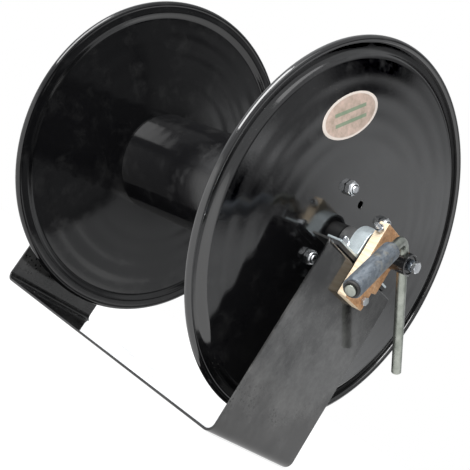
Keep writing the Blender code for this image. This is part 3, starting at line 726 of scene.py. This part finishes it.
def build_axle():
    """The pipe through everything, with the cross hole for the crank rod."""
    low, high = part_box("axle_pipe")
    bore = AXLE_RADIUS - AXLE_WALL
    ease = AXLE_EASE
    rows = [
        (AXLE_RADIUS - ease, low.x), (AXLE_RADIUS, low.x + ease), (AXLE_RADIUS, high.x - ease),
        (AXLE_RADIUS - ease, high.x), (bore + ease / 2, high.x), (bore, high.x - ease),
        (bore, low.x + ease), (bore + ease / 2, low.x),
    ]
    mesh = turned_ring("axle", rows, PIPE_COUNT)
    item = piece("axle", mesh, along_x(), ENAMEL, "reel", "axle_pipe")
    reach = AXLE_RADIUS + CUT_MARGIN
    cut(item, [bar(ROD_RADIUS + GAP, -reach, reach, 40)], frame_along(CRANK_POINT, CRANK_UP))


def build_spacers():
    """Plain pipe sleeves between the flanges and the bearings."""
    bore = AXLE_RADIUS + GAP
    ease = SLEEVE_EASE
    for prefix in ("near", "far"):
        node = prefix + "_spacer"
        low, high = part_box(node)
        outer = size(node).z / 2
        rows = [
            (outer - ease, low.x), (outer, low.x + ease),
            (outer, high.x - ease), (outer - ease, high.x),
            (bore + ease, high.x), (bore, high.x - ease),
            (bore, low.x + ease), (bore + ease, low.x),
        ]
        mesh = turned_ring(prefix + "_sleeve", rows, PIPE_COUNT)
        piece(prefix + "_sleeve", mesh, along_x(), SLEEVE, "reel", node)


TIE_PITCH = 0.0015
TIE_THREAD_LENGTH = 0.03
NUT_COLLAR = 0.0028
NUT_TURN = math.radians(17)     # from each locking nut to the next


def build_tie_rods():
    """The four rods through the drum, and the locking nuts outside both flanges."""
    rod_end = size("tie_rod_1").x / 2
    radius = size("tie_rod_1").z / 2
    thread_start = rod_end - TIE_THREAD_LENGTH
    loops = list(reversed(thread(radius, TIE_PITCH, -thread_start, -rod_end, 32)))
    loops += thread(radius, TIE_PITCH, thread_start, rod_end, 32)
    rod_mesh = loft_mesh("tie_bar", loops, sharp=HEX_SHARP)
    flats = size("tie_nut_near_1").y
    meshes = {}
    for side in ("near", "far"):
        low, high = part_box(f"tie_nut_{side}_1")
        seat, end = (low.x, high.x) if side == "near" else (high.x, low.x)
        meshes[side] = nut_mesh("tie_nut_" + side, flats, radius, seat, end, NUT_COLLAR)
        meshes[side].materials.append(ZINC)
        meshes[side].materials.append(NYLON)
    for index in range(1, 5):
        rod = f"tie_rod_{index}"
        placing = along_x(0, middle(rod).y, middle(rod).z)
        piece(f"tie_bar_{index}", rod_mesh, placing, ZINC, "reel", rod)
        turned = placing @ Matrix.Rotation(NUT_TURN * index, 4, "Z")
        for side in ("near", "far"):
            node = f"tie_nut_{side}_{index}"
            piece("lock_" + node, meshes[side], turned, ZINC, "reel", node)


LABEL_HALF_LONG = 0.0485
LABEL_HALF_WIDE = 0.0268
LABEL_TURN = math.radians(52)
LABEL_LAYERS = ((0.0, 1.0), (0.0002, 1.0), (0.0004, 0.992))    # height, and share of the outline


def build_label():
    """The oval sticker on the near flange."""
    node = "flange_label"
    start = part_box(node)[0].x
    placing = along_x(start, middle(node).y, middle(node).z) @ Matrix.Rotation(LABEL_TURN, 4, "Z")
    loops = []
    for height, share in LABEL_LAYERS:
        half_long = LABEL_HALF_LONG * share
        half_wide = LABEL_HALF_WIDE * share
        loops.append([Vector((p.x * half_long, p.y * half_wide, height)) for p in circle(1.0, height, 96)])
    material = sticker(LABEL_HALF_LONG, LABEL_HALF_WIDE)
    piece("oval_label", loft_mesh("oval_label", loops), placing, material, "reel", node)


# ---- Bearings ---------------------------------------------------------------------------------
STRAP_WALL = 0.003
STRAP_ROOT = 0.005              # radius where the strap's arch meets its feet
STRAP_EDGE = 0.0008
BLOCK_EDGE = 0.0005
BLOCK_ARCH_STEPS = 24
STRAP_ARCH_STEPS = 32
STRAP_NUT_TURN = math.radians(20)


def arch(radius, count):
    """Half a circle over the axle, from +Y to -Y."""
    angles = [math.pi * index / count for index in range(count + 1)]
    return [(radius * math.cos(angle), radius * math.sin(angle)) for angle in angles]


def plate_x(name, outline, half):
    """A flat piece across the axle, in local coordinates whose Z is the axle's X."""
    return loft_mesh(name, [[Vector((a, b, x)) for a, b in outline] for x in (-half, half)])


def axle_hole(half):
    """The shape that cuts the axle's hole through a plate."""
    return bar(AXLE_RADIUS + GAP, -half - CUT_MARGIN, half + CUT_MARGIN, 64)


def build_bearing_block(node, name, strap_base):
    """The black block round the axle: a wide foot under the strap's feet, and an arch."""
    low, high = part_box(node)
    half = (high.x - low.x) / 2
    placing = along_x((low.x + high.x) / 2)
    radius = high.z - AXLE_Z
    reach = high.y
    bottom = low.z - AXLE_Z
    top = strap_base - GAP
    outline = [(-reach, bottom), (reach, bottom), (reach, top), (radius, top)]
    outline += arch(radius, BLOCK_ARCH_STEPS) + [(-radius, top), (-reach, top)]
    mesh = plate_x("bearing_insert", outline, half)
    block = piece(name, mesh, placing, NYLON, "frame", node)
    cut(block, [axle_hole(half)], placing)
    add_bevel(block, BLOCK_EDGE)


def build_strap(node, name, placing, reach, half, base):
    """The zinc strap over the block, with a foot on each side."""
    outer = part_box(node)[1].z - AXLE_Z
    inner = outer - STRAP_WALL
    foot_top = base + STRAP_WALL
    corners = [(-reach, base, 0), (-inner, base, 0)]
    corners += [(a, b, 0) for a, b in reversed(arch(inner, STRAP_ARCH_STEPS))]
    corners += [(inner, base, 0), (reach, base, 0), (reach, foot_top, 0), (outer, foot_top, STRAP_ROOT)]
    corners += [(a, b, 0) for a, b in arch(outer, STRAP_ARCH_STEPS)]
    corners += [(-outer, foot_top, STRAP_ROOT), (-reach, foot_top, 0)]
    mesh = plate_x("pipe_strap", filleted(corners), half)
    piece(name, mesh, placing, STRAP_ZINC, "frame", node, bevel=STRAP_EDGE)


def build_bearing(prefix):
    """Bearing block, strap, bolts and nuts of one end, from the CAD nodes' boxes."""
    low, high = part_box(prefix + "_bearing_block")
    centre = (low.x + high.x) / 2
    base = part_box(prefix + "_bearing_strap")[0].z - AXLE_Z
    build_bearing_block(prefix + "_bearing_block", prefix + "_bearing_insert", base)
    build_strap(prefix + "_bearing_strap", prefix + "_pipe_strap", along_x(centre), high.y,
                (high.x - low.x) / 2, base)
    seat = SHELF_TOP - PLATE - GAP
    for index in (1, 2):
        bolt_node = f"{prefix}_strap_bolt_{index}"
        nut_node = f"{prefix}_strap_nut_{index}"
        bolt_low, bolt_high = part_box(bolt_node)
        nut_low, nut_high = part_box(nut_node)
        upright = Matrix.Translation((centre, middle(nut_node).y, 0))
        upright = upright @ Matrix.Rotation(STRAP_NUT_TURN * index, 4, "Z")
        bolt = bolt_mesh("carriage_bolt", M8, bolt_low.z, seat, bolt_high.z)
        nut = nut_mesh("carriage_nut", M8.flats, M8.nut_bore, nut_low.z, nut_high.z)
        piece(f"{prefix}_m8_bolt_{index}", bolt, upright, ZINC, "frame", bolt_node)
        piece(f"{prefix}_m8_nut_{index}", nut, upright, ZINC, "frame", nut_node)


# ---- Wooden brake block -------------------------------------------------------------------------
NOTCH_DEPTH = 0.0092
NOTCH_BELOW_AXLE = 0.0430
NOTCH_SLOPE = 0.003
WOOD_CORNER = 0.002
WOOD_TOP_CORNER = 0.0025
WOOD_EDGE = 0.0009
BLOCK_NUT_TURN = math.radians(25)


def build_brake_block():
    """The wooden block round the axle, notched at one lower corner, and its two bolts."""
    low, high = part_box("brake_block")
    notch_y = high.y - NOTCH_DEPTH
    notch_top = AXLE_Z - NOTCH_BELOW_AXLE
    outline = [
        (low.y, low.z, WOOD_CORNER), (notch_y, low.z, WOOD_CORNER), (notch_y, notch_top - NOTCH_SLOPE, 0),
        (high.y, notch_top, 0), (high.y, high.z, WOOD_TOP_CORNER), (low.y, high.z, WOOD_CORNER),
    ]
    shape = [(a, b - AXLE_Z) for a, b in filleted(outline)]
    half = (high.x - low.x) / 2
    placing = along_x((low.x + high.x) / 2)
    mesh = plate_x("brake_wood", shape, half)
    block = piece("brake_wood", mesh, placing, WOOD, "frame", "brake_block")
    cut(block, [axle_hole(half)], placing)
    add_bevel(block, WOOD_EDGE)
    for index in (1, 2):
        bolt_node = f"brake_block_bolt_{index}"
        nut_node = f"brake_block_nut_{index}"
        bolt_low, bolt_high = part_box(bolt_node)
        nut_low, nut_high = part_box(nut_node)
        place = middle(nut_node)
        turned = along_x(0, place.y, place.z) @ Matrix.Rotation(BLOCK_NUT_TURN * index, 4, "Z")
        bolt = bolt_mesh("m6_bolt", M6, bolt_high.x, high.x + GAP, bolt_low.x)
        nut = nut_mesh("m6_nut", M6.flats, M6.nut_bore, nut_high.x, nut_low.x)
        piece(f"m6_bolt_{index}", bolt, turned, ZINC, "frame", bolt_node)
        piece(f"m6_nut_{index}", nut, turned, ZINC, "frame", nut_node)


def build_cross_screw():
    """The screw through the block from side to side, and its nut."""
    screw_low, screw_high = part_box("cross_screw")
    nut_low, nut_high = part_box("cross_screw_nut")
    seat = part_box("brake_block")[1].y + GAP
    centre = middle("cross_screw")
    placing = frame_along((centre.x, 0, centre.z), (0, 1, 0), (0, 0, 1))
    screw = bolt_mesh("adjuster", M6, screw_high.y, seat, screw_low.y)
    nut = nut_mesh("adjuster_nut", M6.flats, M6.nut_bore, nut_high.y, nut_low.y)
    piece("adjuster", screw, placing, ZINC, "frame", "cross_screw")
    piece("adjuster_nut", nut, placing, ZINC, "frame", "cross_screw_nut")


# ---- Crank ------------------------------------------------------------------------------------
CRANK_BEND = 0.017
CRANK_LONG_LEG = 0.1595
CRANK_GRIP_LEG = 0.1457
BEND_STEPS = 24
ROD_CHAMFER = ((0.0, 0.80), (0.0004, 0.92), (0.0010, 1.0))      # distance from the end, share of the radius
GRIP_START = 0.0400             # from the crank's corner
GRIP_END = GRIP_START + 0.0990
GRIP_OUTER = 0.0113
GRIP_INNER = 0.0079
GRIP_EASE = 0.0009
KEEPER_LENGTH = 0.003
KEEPER_OUTER = 0.0094
BUSH_WALL = 0.00155
PLUG_BORE = 0.0043
SMALL_EASE = 0.0004             # worn corners of the small turned parts
JAM_NUT_TURN = 0.4              # radians
CLAMP_BOLT_TURN = 0.1
CLAMP_HEAD_CLEAR = 0.0018       # between the jam nut and the clamp bolt's head


def build_crank_rod():
    """The bent bar, in a frame whose Z is its long leg and whose X is its grip leg."""
    placing = frame_along(CRANK_POINT, CRANK_UP, GRIP_DIRECTION)
    corner = (GRIP_CORNER - CRANK_POINT).length
    bend = CRANK_UP.angle(GRIP_DIRECTION)
    grip_way = Vector((math.sin(bend), 0, math.cos(bend)))
    straight = corner - CRANK_BEND * math.tan(bend / 2)
    path = []
    for back, share in ROD_CHAMFER:
        path.append((Vector((0, 0, -CRANK_LONG_LEG + back)), 0.0, share))
    for step in range(BEND_STEPS + 1):
        turn = bend * step / BEND_STEPS
        out = CRANK_BEND * (1 - math.cos(turn))
        up = straight + CRANK_BEND * math.sin(turn)
        path.append((Vector((out, 0, up)), turn, 1.0))
    for back, share in reversed(ROD_CHAMFER):
        path.append((Vector((0, 0, corner)) + grip_way * (CRANK_GRIP_LEG - back), bend, share))
    loops = []
    for centre, turn, share in path:
        tilt = Matrix.Rotation(turn, 4, "Y")
        loops.append([centre + tilt @ point for point in circle(ROD_RADIUS * share, 0, 48)])
    mesh = loft_mesh("crank_bar", loops)
    piece("crank_bar", mesh, placing, ROD_ZINC, "crank_rod", "crank_rod")


def build_grip():
    """The sleeve that turns on the grip leg, and the black ring that keeps it on."""
    placing = frame_along(GRIP_CORNER, GRIP_DIRECTION)
    start, end, ease = GRIP_START, GRIP_END, GRIP_EASE
    rows = [
        (GRIP_OUTER - ease, start), (GRIP_OUTER - ease * 0.3, start + ease * 0.3),
        (GRIP_OUTER, start + ease), (GRIP_OUTER, end - ease),
        (GRIP_OUTER - ease * 0.3, end - ease * 0.3), (GRIP_OUTER - ease, end),
        (GRIP_INNER + ease * 0.5, end), (GRIP_INNER, end - ease * 0.5),
        (GRIP_INNER, start + ease * 0.5), (GRIP_INNER + ease * 0.5, start),
    ]
    mesh = turned_ring("grip_sleeve", rows, 64)
    piece("grip_sleeve", mesh, placing, GALVANISED, "grip", "crank_grip")
    ring_start = end + GAP
    ring_end = ring_start + KEEPER_LENGTH
    bore = ROD_RADIUS + GAP
    rows = [
        (KEEPER_OUTER - SMALL_EASE, ring_start), (KEEPER_OUTER, ring_start + 0.0006),
        (KEEPER_OUTER, ring_end - 0.0010), (KEEPER_OUTER - 2 * SMALL_EASE, ring_end),
        (bore + SMALL_EASE, ring_end), (bore, ring_end - SMALL_EASE), (bore, ring_start),
    ]
    mesh = turned_ring("grip_keeper", rows, 64)
    piece("grip_keeper", mesh, placing, RUBBER, "crank_rod", "grip_retainer")


def build_bush():
    """The bush round the crank rod, inside the axle, that the clamp bolt bears on."""
    bore = ROD_RADIUS + GAP
    outer = bore + BUSH_WALL
    half = math.sqrt((AXLE_RADIUS - AXLE_WALL - GAP) ** 2 - outer ** 2)
    ease = SMALL_EASE
    rows = [
        (outer - ease, -half), (outer, -half + ease), (outer, half - ease),
        (outer - ease, half), (bore, half), (bore, -half),
    ]
    mesh = turned_ring("rod_bush", rows, 48)
    piece("rod_bush", mesh, frame_along(CRANK_POINT, CRANK_UP), ZINC, "crank_bush", "crank_bush")


def build_clamp():
    """The plug in the axle's end, with the jam nut and the clamp bolt in it."""
    low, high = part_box("clamp_plug")
    outer = size("clamp_plug").z / 2
    ease = SMALL_EASE
    rows = [
        (outer, low.x), (outer, high.x - ease), (outer - ease, high.x),
        (PLUG_BORE + ease, high.x), (PLUG_BORE, high.x - ease), (PLUG_BORE, low.x),
    ]
    mesh = turned_ring("end_plug", rows, 64)
    piece("end_plug", mesh, along_x(), ENAMEL, "reel", "clamp_plug")
    low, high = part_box("clamp_jam_nut")
    nut = nut_mesh("jam_nut", M8.flats, M8.nut_bore, low.x, high.x)
    turned = along_x() @ Matrix.Rotation(JAM_NUT_TURN, 4, "Z")
    piece("jam_nut", nut, turned, DARK_ZINC, "reel", "clamp_jam_nut")
    seat = high.x + CLAMP_HEAD_CLEAR
    low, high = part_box("clamp_bolt")
    screw = bolt_mesh("clamp_screw", M8, high.x, seat, low.x)
    turned = along_x() @ Matrix.Rotation(CLAMP_BOLT_TURN, 4, "Z")
    piece("clamp_screw", screw, turned, ZINC, "reel", "clamp_bolt")


# ---- Studio -----------------------------------------------------------------------------------
FLOOR_SIZE = 30.0
FLOOR_DROP = 0.0005             # below the reel's underside, so that the two faces don't meet
FLOOR_GLOW = 0.84               # keeps the pale floor level with the white background


def build_floor():
    """A pale floor."""
    bpy.ops.mesh.primitive_plane_add(size=FLOOR_SIZE, location=(0, 0, -FLOOR_DROP))
    floor = bpy.context.object
    floor.name = "studio_floor"
    s = Surface("studio_floor")
    s.feed(s.shader.inputs["Emission Color"], (1.0, 1.0, 1.0, 1.0))
    s.feed(s.shader.inputs["Emission Strength"], FLOOR_GLOW)
    pale = s.mix(s.noise(2.0, 2.0), (0.24, 0.24, 0.24), (0.27, 0.27, 0.27))
    floor.data.materials.append(s.finish(pale, 0.9))


LIGHT_TARGET = (0.1, 0, 0.25)


def add_light(name, place, side, power):
    """A square soft light in watts, aimed at the reel."""
    data = bpy.data.lights.new(name, "AREA")
    data.size = side
    data.energy = power
    light = bpy.data.objects.new(name, data)
    bpy.context.scene.collection.objects.link(light)
    light.location = place
    light.rotation_euler = (Vector(place) - Vector(LIGHT_TARGET)).to_track_quat("Z", "Y").to_euler()


def direction(azimuth, elevation):
    """A unit vector from degrees, with azimuth from +X towards +Y."""
    turn, rise = math.radians(azimuth), math.radians(elevation)
    return (math.cos(rise) * math.cos(turn), math.cos(rise) * math.sin(turn), math.sin(rise))


ROOM_LIGHT = 0.60
ROOM_TINT = (0.97, 0.985, 1.0, 1)
CLOUD_SCALE = 14.0
CLOUD_RANGE = (0.82, 1.18)      # how far the clouds dim and brighten the room
# azimuth, elevation, inner and outer reach in degrees, and how much brighter or darker the room is there
ROOM_PATCHES = (
    (56, 3, 3.0, 8.0, 0.50),
    (29, 13, 4.0, 13.0, -0.46),
    (39, 10, 1.5, 5.0, -0.30),
    (56, 38, 8.0, 20.0, -0.36),
    (54, 18, 3.0, 9.0, 0.24),
    (42, 10, 1.5, 4.5, -0.48),
    (47, 12, 1.0, 3.5, -0.45),
    (41, 15, 1.0, 3.0, 0.50),
    (44, 18, 1.0, 4.5, -0.36),
    (46, 25, 2.0, 5.0, -0.50),
    (36, 26, 4.0, 9.0, -0.35),
    (130, 0, 10.0, 34.0, 1.20),
    (225, 40, 15.0, 60.0, 0.60),
)


def add_room_patch(tree, place, light, patch):
    """Adds one brighter or darker part of the room to a light level."""
    azimuth, elevation, inner, outer, change = patch
    facing = tree.nodes.new("ShaderNodeVectorMath")
    facing.operation = "DOT_PRODUCT"
    facing.inputs[1].default_value = direction(azimuth, elevation)
    tree.links.new(place, facing.inputs[0])
    fade = tree.nodes.new("ShaderNodeMapRange")
    fade.interpolation_type = "SMOOTHSTEP"
    fade.inputs["From Min"].default_value = math.cos(math.radians(outer))
    fade.inputs["From Max"].default_value = math.cos(math.radians(inner))
    fade.inputs["To Max"].default_value = change
    tree.links.new(facing.outputs["Value"], fade.inputs["Value"])
    total = tree.nodes.new("ShaderNodeMath")
    tree.links.new(fade.outputs[0], total.inputs[0])
    tree.links.new(light, total.inputs[1])
    return total.outputs[0]


def room_clouds(tree, place, light):
    """A light level made slightly uneven, as a real room is."""
    clouds = tree.nodes.new("ShaderNodeTexNoise")
    clouds.inputs["Scale"].default_value = CLOUD_SCALE
    clouds.inputs["Detail"].default_value = 4.0
    tree.links.new(place, clouds.inputs["Vector"])
    varied = tree.nodes.new("ShaderNodeMapRange")
    varied.inputs["From Min"].default_value = 0.3
    varied.inputs["From Max"].default_value = 0.7
    varied.inputs["To Min"].default_value, varied.inputs["To Max"].default_value = CLOUD_RANGE
    tree.links.new(clouds.outputs["Fac"], varied.inputs["Value"])
    uneven = tree.nodes.new("ShaderNodeMath")
    uneven.operation = "MULTIPLY"
    tree.links.new(light, uneven.inputs[0])
    tree.links.new(varied.outputs[0], uneven.inputs[1])
    return uneven.outputs[0]


def build_world():
    """White for the camera; light and reflections come from a soft room with brighter and darker sides."""
    world = bpy.data.worlds.new("studio")
    bpy.context.scene.world = world
    world.use_nodes = True
    tree = world.node_tree
    backdrop = tree.nodes["Background"]
    backdrop.inputs["Color"].default_value = (1, 1, 1, 1)
    backdrop.inputs["Strength"].default_value = 1.0
    place = tree.nodes.new("ShaderNodeTexCoord").outputs["Generated"]
    level = tree.nodes.new("ShaderNodeValue").outputs[0]
    level.default_value = ROOM_LIGHT
    for patch in ROOM_PATCHES:
        level = add_room_patch(tree, place, level, patch)
    room = tree.nodes.new("ShaderNodeBackground")
    room.inputs["Color"].default_value = ROOM_TINT
    tree.links.new(room_clouds(tree, place, level), room.inputs["Strength"])
    rays = tree.nodes.new("ShaderNodeLightPath")
    mix = tree.nodes.new("ShaderNodeMixShader")
    tree.links.new(rays.outputs["Is Camera Ray"], mix.inputs[0])
    tree.links.new(room.outputs[0], mix.inputs[1])
    tree.links.new(backdrop.outputs[0], mix.inputs[2])
    tree.links.new(mix.outputs[0], tree.nodes["World Output"].inputs["Surface"])


CAMERA_PLACE = Vector((0.7427, -0.7288, 0.0843))
CAMERA_TARGET = Vector((0.0455, 0.0450, 0.2623))
CAMERA_ROLL = math.radians(32.5)
CAMERA_LENS = 56.5              # millimetres, on a sensor 36 mm wide
CAMERA_SHIFT = (-0.0843, -0.0087)


def build_camera():
    """The camera at the photograph's angle."""
    data = bpy.data.cameras.new("camera")
    data.sensor_width = 36.0
    data.lens = CAMERA_LENS
    data.shift_x, data.shift_y = CAMERA_SHIFT
    data.clip_start = 0.01
    camera = bpy.data.objects.new("camera", data)
    bpy.context.scene.collection.objects.link(camera)
    facing = (CAMERA_PLACE - CAMERA_TARGET).to_track_quat("Z", "Y").to_matrix().to_4x4()
    camera.matrix_world = Matrix.Translation(CAMERA_PLACE) @ facing @ Matrix.Rotation(CAMERA_ROLL, 4, "Z")
    bpy.context.scene.camera = camera


build_frame()
build_flange("near_flange", 1)
build_flange("far_flange", -1)
build_drum()
build_axle()
build_spacers()
build_tie_rods()
build_label()
build_bearing("near")
build_bearing("far")
build_brake_block()
build_cross_screw()
build_crank_rod()
build_grip()
build_bush()
build_clamp()
build_floor()
build_world()
add_light("key", (0.45, -2.0, 1.5), 1.6, 80)
add_light("front_fill", (1.9, -1.3, 2.4), 1.4, 9)
build_camera()
bpy.context.scene.view_settings.view_transform = "Standard"
